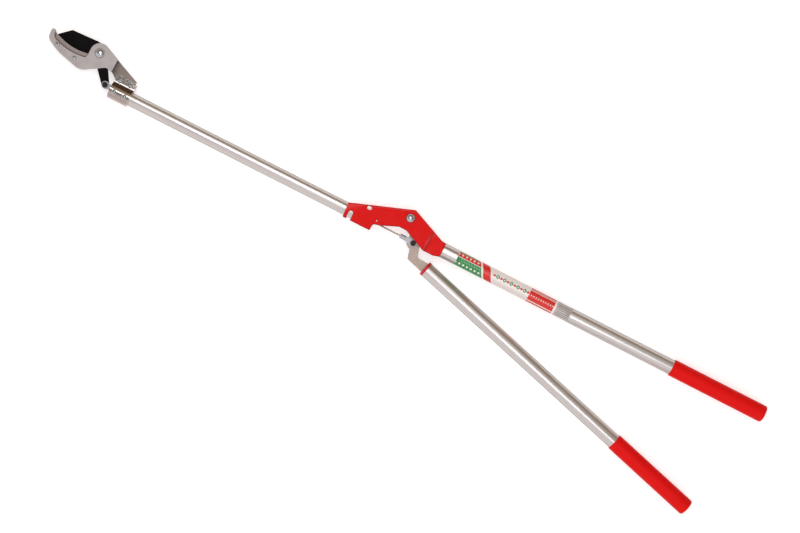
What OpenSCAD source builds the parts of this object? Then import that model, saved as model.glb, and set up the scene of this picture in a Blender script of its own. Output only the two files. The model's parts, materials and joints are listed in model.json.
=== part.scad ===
// Long-reach anvil lopper: a blade on a pole, worked by a rod and a lever handle.
// X runs along the pole from the blade to the grips. Y points up in the plane that the
// blade and the lever swing in, and Z out of the flat side that lies uppermost.

/* [Pole and handles] */
// Outside diameter of the pole
pole_d = 25; // [23:0.5:27]
// Wall of the pole
pole_wall = 1.5; // [1:0.1:2.5]
// Distance along the pole from the main pivot to the blade pivot
pole_reach = 657; // [500:1:900]
// Drop from the main pivot to the axis of the pole
pole_drop = 38.2; // [36:0.1:42]
// Outside diameter of the handle tubes
handle_d = 28; // [26:0.5:30]
// Wall of the handle tubes
handle_wall = 1.5; // [1:0.1:2]
// Drop from the main pivot to the axis of the fixed handle
handle_drop = 25.9; // [24:0.1:28]
// Distance from the main pivot to the closed end of the fixed grip
handle_reach = 755.5; // [600:0.5:900]
// Lean of the fixed handle away from the pole's direction
handle_lean = 0.2; // [0:0.01:0.2]
// Distance from the lever's socket to the closed end of its grip
lever_reach = 662.3; // [500:0.1:800]
// Angle between the lever handle and the fixed handle when the blade is shut
handle_angle = 15.6; // [12:0.1:18]

/* [Grips] */
// Outside diameter of a grip
grip_d = 32.4; // [31:0.1:38]
// Length of the fixed handle's grip
grip_len = 194.3; // [120:0.1:220]
// Length of the lever's grip
lever_grip_len = 184.8; // [120:0.1:220]
// Thickness of a grip's closed end
grip_end = 5; // [2:0.5:8]
// Rounding of a grip's closed end
grip_round = 4.5; // [1:0.5:6]
// Bevel round a grip's mouth
grip_bevel = 1.2; // [0.2:0.1:2]

/* [Bracket] */
// Sheet thickness of the bracket
sheet_t = 2; // [1.5:0.1:3]
// Distance from the main pivot back to the bracket's pole end
bracket_back = 116.5; // [110:0.5:130]
// Distance from the main pivot to the bracket's handle end
bracket_front = 80.8; // [78:0.1:95]
// Height of the bracket's crown above the main pivot
crown_h = 18.1; // [17.5:0.1:24]
// Length of the skirt that hangs over the pole
skirt_len = 57.5; // [50:0.5:62]
// Depth of the skirt below the pole
skirt_lip = 4; // [1:0.5:8]
// Depth of the lip below the fixed handle
handle_lip = 3.3; // [1:0.1:5]
// Outside radius of the bracket's folds
fold_r = 3.5; // [2.5:0.5:4]
// Length of fixed handle held inside the bracket
handle_seat = 27; // [18:0.5:30]
// Length of pole held inside the bracket
pole_seat = 56.5; // [40:0.5:56.5]
// Width of the open slot in the skirt
skirt_slot_w = 9; // [6:0.5:12]
// Length of the hanging slot
hang_slot_l = 9.6; // [8:0.2:14]
// Width of the hanging slot
hang_slot_w = 7; // [5:0.2:7.4]
// Diameter of the small drain hole
drain_d = 3.2; // [2:0.1:5]

/* [Lever] */
// Thickness of the lever arm
arm_t = 6; // [4:0.5:7]
// Radius of the arm's boss round the main pivot
arm_boss_r = 11; // [10:0.1:13.4]
// Radius of the arm's boss round the rod pin
pin_boss_r = 12.3; // [9:0.1:13]
// Distance of the lever's socket from the main pivot, along X
socket_x = 68; // [62:0.1:75]
// Drop from the main pivot to the lever's socket
socket_drop = 71.6; // [69:0.1:78]
// Width of the tang inside the handle plug
tang_w = 17; // [12:0.5:19]
// Length of the tang beyond the socket
tang_len = 55; // [50:1:90]
// Radius of the plug's collar
collar_r = 15.1; // [14.2:0.1:17]
// Thickness of the plug's collar
collar_t = 5.4; // [3:0.1:8]
// Length of the plug inside the handle tube
plug_len = 42; // [40:1:50]

/* [Linkage] */
// Distance of the lever's rod pin from the main pivot, along X
lever_pin_x = 25.2; // [23:0.1:28]
// Drop of the lever's rod pin below the axis of the pole
lever_pin_drop = 1.3; // [0:0.1:3]
// Distance of the blade's rod pin from the blade pivot, along X
tail_pin_x = 35.5; // [33:0.1:36]
// Rise of the blade's rod pin above the axis of the pole
tail_pin_rise = 2.5; // [0:0.1:3]
// Diameter of the rod
rod_d = 3; // [2.5:0.1:4]
// Rise of the rod's line above the lower fork's pin
rod_rise = 1.8; // [0:0.1:2.4]
// Diameter of the rod pins
rod_pin_d = 6; // [5:0.5:6]
// Diameter of a rod pin's head
rod_pin_head_d = 10.4; // [9:0.1:11]
// Height of a rod pin's head
rod_pin_head_h = 6; // [3:0.5:7]
// Radius of the lower fork's eyes
lower_eye_r = 7.4; // [6.5:0.1:9]
// Radius of the upper fork's eyes
upper_eye_r = 7.2; // [6.5:0.1:8]
// Thickness of a fork's ears
fork_ear_t = 3; // [2:0.1:4]
// Diameter of a fork's neck
fork_neck_d = 8.6; // [7:0.1:10]
// Length of the lower fork from its pin to its end
lower_fork_len = 28.2; // [26:0.1:32]
// Length of the upper fork from its pin to its end
upper_fork_len = 32; // [28:0.5:40]
// Depth of the rod in each fork's neck
rod_depth = 9; // [5:0.5:10]

/* [Head] */
// Height of the blade pivot above the axis of the pole
head_rise = 50.7; // [48:0.1:54]
// Thickness of the blade
blade_t = 4; // [3:0.1:4.4]
// Radius of the cutting edge, seen flat
edge_r = 102.4; // [98:0.1:106]
// Width of the ground bevel along the cutting edge
bevel_w = 7; // [3:0.5:10]
// Thickness left at the cutting edge
edge_t = 0.4; // [0.2:0.1:0.8]
// Radius of the blade's boss
blade_boss_r = 17.3; // [15:0.1:17.8]
// Thickness of the front cheek
cheek_t = 5.5; // [4:0.1:8]
// Bevel along the front cheek's outer edges
cheek_bevel = 1.2; // [0.4:0.1:1.6]
// Radius of the front cheek's boss
cheek_boss_r = 18.8; // [18:0.1:20]
// Reach of the hook beyond the blade pivot
hook_reach = 100; // [97:0.5:110]
// Thickness of the head plate
plate_t = 4; // [3:0.1:5]
// Distance from the blade pivot to the end of the head plate
plate_reach = 87.3; // [84:0.1:88]
// Height of the anvil insert's visible strip below the cutting edge
anvil_h = 8; // [6:0.5:9]

/* [Pole clamp] */
// Length of the clamp along the pole
clamp_len = 41.1; // [36:0.1:50]
// Distance from the blade pivot to the clamp
clamp_x = 47.7; // [47:0.1:50]
// Wall of the clamp
clamp_t = 4; // [2.5:0.1:5]
// Height of the clamp's flanges above the axis of the pole
flange_top = 31.1; // [28:0.1:31.5]
// Height of the clamp's bolts above the axis of the pole
flange_bolt_y = 22; // [21:0.1:24]
// Distance between the clamp's two bolts
flange_bolt_gap = 21.7; // [18:0.1:26]

/* [Fasteners] */
// Diameter of both pivot bolts
pivot_d = 10; // [8:0.5:10]
// Outside diameter of both pivot bushes
bush_d = 14; // [13:0.1:16]
// Diameter of the main bolt's domed head
main_head_d = 16.8; // [16:0.1:20]
// Height of the main bolt's domed head
main_head_h = 5; // [3:0.1:7]
// Diameter of the blade bolt's domed head
blade_head_d = 19; // [17:0.1:20]
// Height of the blade bolt's domed head
blade_head_h = 5; // [3:0.1:7]
// Width across the flats of the pivot nuts
pivot_nut_af = 17; // [16:0.5:19]
// Height of the pivot nuts
pivot_nut_h = 7; // [5:0.5:10]
// Outside diameter of the washers under the pivot nuts
washer_d = 21; // [19:0.5:24]
// Thickness of the washers
washer_t = 1.6; // [1:0.1:2.5]
// Diameter of the anvil's screws
anvil_screw_d = 4; // [3:0.1:5]
// Diameter of the anvil screws' heads
anvil_head_d = 8.6; // [7.5:0.1:9]
// Diameter of the clamp's bolts
clamp_bolt_d = 5; // [4:0.1:6]
// Diameter of the clamp bolts' heads
clamp_head_d = 9.5; // [8.5:0.1:10]
// Diameter of the saddle screws that pin the clamp to the pole
saddle_screw_d = 4; // [3:0.1:5]
// Turn of the saddle screws round the pole, away from the flanges
saddle_turn = 8; // [0:1:15]
// Diameter of the rivets that hold the tubes in the bracket
rivet_d = 4.8; // [4:0.1:6]

/* [Clearances] */
// Radial running clearance of a pin in its hole
run_gap = 0.05; // [0.02:0.01:0.1]
// Radial clearance between nested fixed tubes
fit_gap = 0.05; // [0.02:0.01:0.1]
// Side clearance of a moving plate between its washers
side_gap = 0.1; // [0.05:0.05:0.2]
// Clearance of the blade between the cheek and the head plate
blade_gap = 0.2; // [0.1:0.05:0.4]
// Gap between the shut cutting edge and the anvil
shut_gap = 0.2; // [0.15:0.05:0.5]
// Radial play of the rod pin in the blade's tail
tail_play = 1.1; // [1.05:0.05:1.5]

/* [Hidden] */
$fn = 96;
arc_step = 7;            // degrees of turn in each step of a rounded corner
over = 1;                // how far a cutter runs past the face that it cuts
through = 8 * handle_d;  // length of a cut that goes right through the tool

pole_r = pole_d / 2;
handle_r = handle_d / 2;
grip_r = grip_d / 2;
pole_in = pole_r - pole_wall;
handle_in = handle_r - handle_wall;
pivot_r = pivot_d / 2;
bush_r = bush_d / 2;
pin_r = rod_pin_d / 2;

// Levels across the tool, counted from the plane of the tubes' axes
wall_in = pole_r + fit_gap;                // inner face of the bracket's walls
wall_out = wall_in + sheet_t;
wide_in = handle_r + fit_gap;              // the same, where the bracket holds the handle
wide_out = wide_in + sheet_t;
cheek_in = blade_t / 2 + blade_gap;        // inner faces beside the blade
cheek_out = cheek_in + cheek_t;
plate_back = -cheek_in - plate_t;
flange_out = plate_t / 2 + clamp_t;

// Where the pins and pivots are
head_y = head_rise - pole_drop;
lever_pin = [lever_pin_x, -pole_drop - lever_pin_drop];
tail_pin = [tail_pin_x, tail_pin_rise - head_rise];         // from the blade pivot
tail_pin_main = [tail_pin_x - pole_reach, tail_pin_rise - pole_drop];
socket = [socket_x, -socket_drop];
lever_dir = [cos(handle_angle), -sin(handle_angle)];
lever_up = [sin(handle_angle), cos(handle_angle)];
seat_x = bracket_front - handle_seat;      // where the held length of fixed handle begins
seat_mid = (seat_x + bracket_front) / 2;

// The part stands with its origin at the bottom centre of its box
low_z = -wall_out - washer_t - pivot_nut_h - over;
lever_end = socket + lever_reach * lever_dir;
low_y = lever_end[1] - grip_round - (grip_r - grip_round) * lever_up[1] - grip_round * lever_dir[1];
high_y = head_y + cheek_boss_r;
handle_end = seat_mid + (handle_reach - seat_mid - grip_round) * cos(handle_lean) + grip_round
           + (grip_r - grip_round) * sin(handle_lean);
centre = [(handle_end - pole_reach - hook_reach) / 2, (low_y + high_y) / 2];

module placed() translate([-centre[0], -centre[1], -low_z]) children();
module at_head() placed() translate([-pole_reach, head_y, 0]) children();
module at_pole() placed() translate([0, -pole_drop, 0]) children();
module at_handle() placed() translate([seat_mid, -handle_drop, 0]) rotate(-handle_lean) children();
module at_lever() placed() translate([socket[0], socket[1], 0]) rotate(-handle_angle) children();
module along_x(from, to) translate([from, 0, 0]) rotate([90, 0, 90]) linear_extrude(to - from) children();
module tube_x(from, to, outer, inner) along_x(from, to) difference() {
    circle(r = outer);
    circle(r = inner);
}

// Outlines are lists of corners [x, y, radius], counter-clockwise
function xy(p) = [p[0], p[1]];
function unit(v) = v / norm(v);
function turned(v, angle) = [v[0] * cos(angle) - v[1] * sin(angle), v[0] * sin(angle) + v[1] * cos(angle)];
function corner(a, b, c, r) = r == 0 ? [b] :
    let (u = unit(a - b), v = unit(c - b),
         half = acos(u * v) / 2,
         radius = min(r, 0.49 * min(norm(a - b), norm(c - b)) * tan(half)),
         middle = b + unit(u + v) * radius / sin(half),
         first = b + u * radius / tan(half) - middle,
         bend = (cross(u, v) > 0 ? -1 : 1) * (180 - 2 * half),
         steps = max(1, ceil(abs(bend) / arc_step)))
    [for (k = [0:steps]) middle + turned(first, bend * k / steps)];
function rounded(corners) =
    let (n = len(corners))
    [for (i = [0:n - 1]) each corner(xy(corners[(i + n - 1) % n]), xy(corners[i]),
                                     xy(corners[(i + 1) % n]), corners[i][2])];
// The same outline, moved inwards by d all round
function inset(corners, d) =
    let (n = len(corners))
    [for (i = [0:n - 1])
        let (b = xy(corners[i]),
             u = unit(b - xy(corners[(i + n - 1) % n])), v = unit(xy(corners[(i + 1) % n]) - b),
             side = [-u[1] - v[1], u[0] + v[0]],
             p = b + d * side / (1 + u * v), r = corners[i][2])
        [p[0], p[1], r == 0 ? 0 : (cross(u, v) > 0 ? r - d : r + d)]];

// The strip between two circles' outer tangents
module strip(a, ra, b, rb) {
    lean = asin((ra - rb) / norm(b - a));
    left = turned(unit(b - a), 90 - lean);
    right = turned(unit(b - a), lean - 90);
    polygon([a + ra * right, b + rb * right, b + rb * left, a + ra * left]);
}

// A solid through a row of loops with equal numbers of points
module loft(loops) {
    n = len(loops[0]);
    last = len(loops) - 1;
    sides = [for (k = [0:last - 1], i = [0:n - 1])
        [k * n + i, (k + 1) * n + i, (k + 1) * n + (i + 1) % n, k * n + (i + 1) % n]];
    polyhedron([for (loop = loops) each loop],
               concat([[for (i = [0:n - 1]) i]], sides, [[for (i = [n - 1:-1:0]) last * n + i]]));
}
// A cast plate from z = low to high, with a bevel round its front edge
module cast_plate(corners, low, high, bevel) {
    linear_extrude_from(low, high - bevel) polygon(rounded(corners));
    linear_extrude_from(low, high) polygon(rounded(inset(corners, bevel + 0.1)));
    // The bevel is a band of its own round the plate: rings of [inset, height] over the same outline
    rings = [[0, high - bevel], [0.25 * bevel, high - 0.4 * bevel], [bevel, high],
             [bevel + 0.2, high], [bevel + 0.2, high - bevel]];
    band([for (ring = rings) [for (p = rounded(inset(corners, ring[0]))) [p[0], p[1], ring[1]]]]);
}
module linear_extrude_from(low, high) translate([0, 0, low]) linear_extrude(high - low) children();
// A closed band through loops with equal numbers of points, the last joined to the first
module band(loops) {
    n = len(loops[0]);
    count = len(loops);
    polyhedron([for (loop = loops) each loop],
               [for (k = [0:count - 1], i = [0:n - 1])
                   let (up = (k + 1) % count, next = (i + 1) % n)
                   [k * n + i, up * n + i, up * n + next, k * n + next]]);
}

module drill(at, r) translate([at[0], at[1], -through / 2]) cylinder(r = r, h = through);
module dome(r, h) {
    ball = (r * r + h * h) / (2 * h);
    intersection() {
        translate([0, 0, h - ball]) sphere(r = ball);
        cylinder(r = r, h = h + over);
    }
}
// A nut on the rear of the tool: its seat is at z, and it hangs down from there
module nut(at, z, flats, h, bore) translate([at[0], at[1], z - h]) difference() {
    intersection() {
        cylinder(d = flats / cos(30), h = h, $fn = 6);
        cylinder(d1 = flats * 1.06, d2 = flats * 1.06 + 2 * h, h = h);
    }
    translate([0, 0, -over]) cylinder(r = bore, h = h + 2 * over);
}
// A button-headed screw with a hexagon socket, its head seated at z
module button_screw(at, z, d, head_d, head_h, length, socket_af) translate([at[0], at[1], z]) difference() {
    union() {
        dome(head_d / 2, head_h);
        translate([0, 0, -length]) cylinder(d = d, h = length);
    }
    translate([0, 0, head_h / 2]) cylinder(d = socket_af / cos(30), h = head_h, $fn = 6);
}
// A socket-headed pin with its head seated at z
module headed_pin(at, z, d, head_d, head_h, length, socket_af) translate([at[0], at[1], z]) difference() {
    union() {
        cylinder(d = head_d, h = head_h - 0.6);
        translate([0, 0, head_h - 0.6]) cylinder(d1 = head_d, d2 = head_d - 1.2, h = 0.6);
        translate([0, 0, -length]) cylinder(d = d, h = length);
    }
    translate([0, 0, head_h / 2]) cylinder(d = socket_af / cos(30), h = head_h, $fn = 6);
}

// ---- Head: outlines from the blade pivot ----
cheek_end = 35.5;                // the cheek's straight end, towards the pole
cheek_slope = 23.9;              // fall of the cheek's top edge towards the pole
belly = 45.7;                    // drop of the cheek's lowest corner below the pivot
edge_drop = 13.2;                // drop of the cutting edge below the pivot
hook_t = 8.4;                    // thickness of the hook, from its back to the jaw
jaw_x = -20.4;                   // root of the jaw, beside the boss
jaw_tip_x = hook_t - hook_reach; // inside of the hook
// A place along the jaw, as a share of its length from the root
function along_jaw(share) = jaw_x + share * (jaw_tip_x - jaw_x);
edge_centre = [along_jaw(0.32), edge_r - edge_drop];
jaw_r = edge_r + anvil_h;
function jaw_y(x) = edge_centre[1] - sqrt(jaw_r * jaw_r - pow(x - edge_centre[0], 2));
jaw_a = along_jaw(0.823);        // where the jaw's long arc starts and ends
jaw_b = along_jaw(0.149);
function jaw_line(x0, x) =
    jaw_y(x0) + (x - x0) * (x0 - edge_centre[0]) / (edge_centre[1] - jaw_y(x0));
cheek_top = [cheek_end, cheek_boss_r / cos(cheek_slope) - cheek_end * tan(cheek_slope)];
// The boss, from the top edge round to straight down
boss_angles = concat([for (k = [0:2]) 90 - cheek_slope * (1 - k / 3)], [for (k = [0:13]) 90 + 90 * k / 13]);
boss_arc = [for (angle = boss_angles) [cheek_boss_r * cos(angle), cheek_boss_r * sin(angle), 0]];
cheek_outline = [
    [-hook_reach, 3.2, 4], [-hook_reach, -0.4 * belly, 26], [along_jaw(0.709), -0.718 * belly, 60],
    [jaw_x + 0.2, -belly, 26], [23.3, -0.41 * belly, 10], [cheek_end, -0.49 * belly, 2],
    [cheek_top[0], cheek_top[1], 2],
    each boss_arc, [-cheek_boss_r, -0.55 * cheek_boss_r, 30], [jaw_x, jaw_line(jaw_b, jaw_x), 5],
    for (k = [0:8]) let (x = jaw_b + (jaw_a - jaw_b) * k / 8) [x, jaw_y(x), 0],
    [jaw_tip_x, jaw_line(jaw_a, jaw_tip_x), 9], [jaw_tip_x, 2.6, 3.5]
];
anvil_holes = [for (h = [[0.803, 4.9], [0.251, 8.4]]) [along_jaw(h[0]), jaw_y(along_jaw(h[0])) - h[1]]];

module front_cheek() color("#c3bab6") at_head() difference() {
    union() {
        cast_plate(cheek_outline, cheek_in, cheek_out, cheek_bevel);
        // The heel seats on the head plate, clear of the blade's boss and tail
        translate([0, 0, -cheek_in]) linear_extrude(2 * cheek_in + over)
            polygon(rounded([[26.5, -15, 2], [34, -15, 2], [34, 3, 2], [26.5, 3, 2]]));
    }
    drill([0, 0], pivot_r + fit_gap);
    for (at = anvil_holes) drill(at, anvil_screw_d / 2 + fit_gap);
}

plate_top_y = flange_top - head_rise + 1.5;      // where the plate's top edge ends
plate_low_y = pole_r + 1.5 - head_rise;          // its lower edge inside the clamp
plate_step = 1.6;
step_from = cheek_end + 0.5;                     // where the plate steps towards the clamp
step_to = clamp_x - 1.5;
module head_plate() color("#8b837e") at_head() difference() {
    intersection() {
        linear_extrude(4 * flange_out, center = true) union() {
            polygon(rounded(inset(cheek_outline, 1.2)));
            polygon(rounded([[18, -14, 0], [cheek_end + 1.5, -22.6, 6],
                             [clamp_x + 1, -31, 4], [clamp_x + 5, plate_low_y, 2],
                             [plate_reach, plate_low_y, 2], [plate_reach, plate_top_y, 4],
                             [cheek_end, cheek_top[1] - 1.1, 0], [8, 14, 0]]));
        }
        // Behind the blade at the head, and stepped to the middle for the clamp
        rotate([90, 0, 0]) linear_extrude(2 * through, center = true)
            polygon([[-2 * hook_reach, plate_back], [step_from, plate_back], [step_to, -plate_t / 2],
                     [2 * plate_reach, -plate_t / 2], [2 * plate_reach, plate_t / 2],
                     [step_to - plate_step, plate_t / 2], [step_from - plate_step, -cheek_in],
                     [-2 * hook_reach, -cheek_in]]);
    }
    drill([0, 0], pivot_r + fit_gap);
    for (at = anvil_holes) drill(at, anvil_screw_d / 2 + fit_gap);
    for (x = flange_bolt_x) drill([x, flange_bolt_y - head_rise], clamp_bolt_d / 2 + fit_gap);
}

module anvil_insert() color("#7d6c62") at_head() difference() {
    linear_extrude(2 * cheek_in, center = true) difference() {
        intersection() {
            union() {
                polygon(rounded(inset(cheek_outline, 2.5)));
                polygon([[jaw_tip_x, 0], [jaw_tip_x, -0.3 * belly],
                         [edge_centre[0], edge_centre[1] - jaw_r - hook_t / 2],
                         [jaw_x + 2, -0.48 * belly], [jaw_x + 2, 0]]);
            }
            translate([jaw_tip_x + 0.3, -2 * belly])
                square([jaw_x - jaw_tip_x + 1.6, 3 * belly]);
        }
        translate(edge_centre) circle(r = edge_r + shut_gap, $fn = 240);
    }
    for (at = anvil_holes) drill(at, anvil_screw_d / 2 + fit_gap);
}

module anvil_screws() color("#9a9693") at_head() for (at = anvil_holes)
    button_screw(at, cheek_out, anvil_screw_d, anvil_head_d, 2.4, cheek_out - plate_back + 4.2, 2.5);
module anvil_nuts() color("#9a9693") at_head() for (at = anvil_holes)
    nut(at, plate_back, 7, 3.2, anvil_screw_d / 2 + fit_gap);

module blade_pivot_bolt() color("#aaa6a3") at_head() {
    translate([0, 0, cheek_out]) dome(blade_head_d / 2, blade_head_h);
    translate([0, 0, plate_back - washer_t - pivot_nut_h - over])
        cylinder(r = pivot_r, h = cheek_out - plate_back + washer_t + pivot_nut_h + 2 * over);
}
module blade_pivot_bush() color("#b08d57") at_head() difference() {
    cylinder(r = bush_r, h = 2 * cheek_in, center = true);
    drill([0, 0], pivot_r + fit_gap);
}
module blade_pivot_washer() color("#aaa6a3") at_head() translate([0, 0, plate_back - washer_t]) difference() {
    cylinder(d = washer_d, h = washer_t);
    drill([0, 0], pivot_r + fit_gap);
}
module blade_pivot_nut() color("#aaa6a3") at_head()
    nut([0, 0], plate_back - washer_t, pivot_nut_af, pivot_nut_h, pivot_r + fit_gap);

// ---- Blade ----
back_y = 15.9;                    // height of the blade's back at its front corner
tail_r = 7;
tail_root_r = 12.4;
module ground_disc() rotate_extrude($fn = 240)
    polygon([[0, -blade_t / 2], [edge_r - bevel_w, -blade_t / 2], [edge_r, -edge_t / 2],
             [edge_r, edge_t / 2], [edge_r - bevel_w, blade_t / 2], [0, blade_t / 2]]);
module blade() color("#1a1717") at_head() difference() {
    union() {
        intersection() {
            translate(edge_centre) ground_disc();
            linear_extrude(blade_t + over, center = true)
                polygon(rounded([[along_jaw(1.101), -edge_drop - 0.8, 0], [jaw_x + 1, -edge_drop - 0.8, 0],
                                 [-12, -10, 0], [-4, -4, 0], [-4, blade_boss_r, 0],
                                 [-12, back_y + 2.6, 0], [along_jaw(0.633), back_y, 2]]));
        }
        linear_extrude(blade_t, center = true) {
            circle(r = blade_boss_r);
            strip([0, 0], tail_root_r, tail_pin, tail_r);
            translate(tail_pin) circle(r = tail_r);
        }
    }
    drill([0, 0], bush_r + run_gap);
    drill(tail_pin, pin_r + tail_play);
}

// ---- Pole clamp ----
clamp_r = pole_r + fit_gap + clamp_t;
clamp_end = clamp_x + clamp_len;
flange_bolt_x = [clamp_x + (clamp_len - flange_bolt_gap) / 2, clamp_x + (clamp_len + flange_bolt_gap) / 2];
saddle_seat = clamp_r - 0.8;
module at_saddle(x) rotate([saddle_turn, 0, 0]) translate([x, 0, 0]) children();
fillet_r = 3;
fillet_z = flange_out + fillet_r;
fillet_y = sqrt(pow(clamp_r + fillet_r, 2) - fillet_z * fillet_z);
module flange_fillet() difference() {
    polygon([[pole_r + 1, flange_out - 1], [fillet_y, flange_out - 1], [fillet_y, fillet_z],
             [fillet_y * clamp_r / (clamp_r + fillet_r), fillet_z * clamp_r / (clamp_r + fillet_r)]]);
    translate([fillet_y, fillet_z]) circle(r = fillet_r);
}
module pole_clamp() color("#a79c94") at_pole() translate([-pole_reach, 0, 0]) difference() {
    intersection() {
        along_x(clamp_x, clamp_end) difference() {
            union() {
                circle(r = clamp_r);
                translate([0, -flange_out]) square([flange_top, 2 * flange_out]);
                flange_fillet();
                mirror([0, 1]) flange_fillet();
            }
            circle(r = pole_r + fit_gap);
            translate([0, -plate_t / 2]) square([flange_top + over, plate_t]);
        }
        linear_extrude(4 * clamp_r, center = true)
            polygon(rounded([[clamp_x, -2 * clamp_r, 0], [clamp_end, -2 * clamp_r, 0],
                             [clamp_end, flange_top, 4], [clamp_x, flange_top, 1.5]]));
    }
    for (x = flange_bolt_x) {
        drill([x, flange_bolt_y], clamp_bolt_d / 2 + fit_gap);
        // A flat for the saddle screw, and its hole through the front wall
        at_saddle(x) translate([0, 0, saddle_seat]) cylinder(d = clamp_head_d, h = clamp_r);
        at_saddle(x) cylinder(d = saddle_screw_d + 2 * fit_gap, h = 2 * clamp_r);
    }
}
module clamp_bolts() color("#9a9693") at_pole() translate([-pole_reach, 0, 0]) for (x = flange_bolt_x)
    button_screw([x, flange_bolt_y], flange_out, clamp_bolt_d, clamp_head_d, 2.8, 2 * flange_out + 5.2, 3);
module clamp_nuts() color("#9a9693") at_pole() translate([-pole_reach, 0, 0]) for (x = flange_bolt_x)
    nut([x, flange_bolt_y], -flange_out, 8, 4, clamp_bolt_d / 2 + fit_gap);
module saddle_screws() color("#9a9693") at_pole() translate([-pole_reach, 0, 0]) for (x = flange_bolt_x)
    at_saddle(x) button_screw([0, 0], saddle_seat, saddle_screw_d, 2 * saddle_screw_d, 2.2,
                              saddle_seat - pole_in + 1.5, 2.5);

module pole() color("#c6bbb4") at_pole() difference() {
    tube_x(clamp_x - pole_reach, pole_seat - bracket_back, pole_r, pole_in);
    for (x = flange_bolt_x) translate([-pole_reach, 0, 0]) at_saddle(x)
        cylinder(d = saddle_screw_d + 2 * fit_gap, h = 2 * pole_r);
    for (x = pole_rivet_x) translate([x, 0, -2 * pole_r]) cylinder(d = rivet_d + 2 * fit_gap, h = 2 * pole_r);
}

// ---- Bracket ----
pole_top = pole_r - pole_drop;
handle_top = handle_r - handle_drop;
handle_low = -handle_drop - handle_r;
crown = [2.2, crown_h];
knee = [bracket_front - 9.4, handle_top + 0.8];  // where the spine turns along the handle
back_slope = (crown[1] - pole_top) / (crown[0] + bracket_back);
front_slope = (knee[1] - crown[1]) / (knee[0] - crown[0]);
end_slope = (handle_top - knee[1]) / (bracket_front - knee[0]);
skirt_y = -pole_drop - pole_r - skirt_lip;
skirt_x = skirt_len - bracket_back;
lip_y = handle_low - handle_lip;
belly_y = -23.6;                  // the open middle of the lower edge
wide_x = seat_x - 2;              // the walls step out to the handle's width before this
joggle = 6;
sides_outline = [
    [-bracket_back, crown_h + over, 0], [-bracket_back, pole_top, 0], [-bracket_back + 1.8, skirt_y, 1.5],
    [skirt_x, skirt_y, 1.5], [skirt_x + 0.8, -41, 5], [-46.5, -38.2, 6], [-12, belly_y, 10], [3, belly_y, 12],
    [47, lip_y, 8], [bracket_front - 12.2, lip_y, 4], [bracket_front, handle_low + 0.2, 1],
    [bracket_front, crown_h + over, 0]
];
// The top of the spine, from the pole's end to the handle's
function slope_at(x) = [x, crown[1] + front_slope * (x - crown[0])];
spine = concat(
    [[-bracket_back - over, pole_top - over * back_slope]],
    corner([-bracket_back, pole_top], crown, knee, 5),
    [slope_at(wide_x - joggle), slope_at(wide_x)],
    corner(crown, knee, [bracket_front, handle_top], 8),
    [[bracket_front + over, handle_top + over * end_slope]]);
function wall_at(x) = wall_out + (wide_out - wall_out) * max(0, min(1, (x - wide_x + joggle) / joggle));
function spine_loop(p) =
    let (wall = wall_at(p[0]), low = skirt_y - over)
    [for (q = rounded([[low, -wall, 0], [p[1], -wall, fold_r], [p[1], wall, fold_r], [low, wall, 0]]))
        [p[0], q[0], q[1]]];
// The underside of the spine, which is notched at both ends for the pole and the handle
under = crown[1] - sheet_t * norm([1, front_slope]);
back_notch = crown[0] + (pole_top + over - under) / back_slope;
front_notch = crown[0] + (handle_top + over - under) / front_slope;
module inside() intersection() {
    linear_extrude(through, center = true)
        polygon([[-2 * bracket_back, 2 * skirt_y], [2 * bracket_front, 2 * skirt_y],
                 [2 * bracket_front, crown_h], [front_notch, crown_h],
                 [front_notch, handle_top + over], [crown[0], under], [back_notch, pole_top + over],
                 [back_notch, crown_h], [-2 * bracket_back, crown_h]]);
    rotate([90, 0, 0]) linear_extrude(2 * through, center = true)
        polygon([[-2 * bracket_back, -wall_in], [wide_x - joggle, -wall_in], [wide_x, -wide_in],
                 [2 * bracket_front, -wide_in], [2 * bracket_front, wide_in], [wide_x, wide_in],
                 [wide_x - joggle, wall_in], [-2 * bracket_back, wall_in]]);
}
module bracket() color("#d2201c") placed() difference() {
    intersection() {
        linear_extrude(through, center = true) polygon(rounded(sides_outline));
        loft([for (p = spine) spine_loop(p)]);
    }
    inside();
    drill([0, 0], pivot_r + fit_gap);
    drill([-54.4, -32.7], drain_d / 2);
    // Hanging slot
    for (end = [-1, 1]) drill(hang_slot_at + [end * (hang_slot_l - hang_slot_w) / 2, 0], hang_slot_w / 2);
    translate(hang_slot_at) cube([hang_slot_l - hang_slot_w, hang_slot_w, through], center = true);
    // Open slot in the skirt
    drill([skirt_slot_x, skirt_slot_y], skirt_slot_w / 2);
    translate([skirt_slot_x, skirt_slot_y + skirt_y, 0])
        cube([skirt_slot_w, -2 * skirt_y, through], center = true);
    for (x = pole_rivet_x) translate([x, -pole_drop, -through])
        cylinder(r = rivet_d / 2 + fit_gap, h = through);
    for (x = handle_rivet_x) translate([x, -handle_drop, -through])
        cylinder(r = rivet_d / 2 + fit_gap, h = through);
}
hang_slot_at = [-77.2, -17.4];
skirt_slot_x = -bracket_back + 12.5;
skirt_slot_y = -pole_drop - skirt_slot_w / 2 + 0.8;
pole_rivet_x = [skirt_x - 28, skirt_x - 10];
handle_rivet_x = [seat_mid - 7, seat_mid + 7];

module rivets(xs, y, wall) for (x = xs) translate([x, y, 0]) {
    translate([0, 0, -wall - sheet_t]) mirror([0, 0, 1]) dome(rivet_d * 0.9, rivet_d * 0.3);
    translate([0, 0, -wall - sheet_t - 0.05]) cylinder(d = rivet_d, h = sheet_t + 4);
}
module pole_rivets() color("#c41f1a") placed() rivets(pole_rivet_x, -pole_drop, wall_in);
module handle_rivets() color("#c41f1a") placed() rivets(handle_rivet_x, -handle_drop, wide_in);

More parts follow.
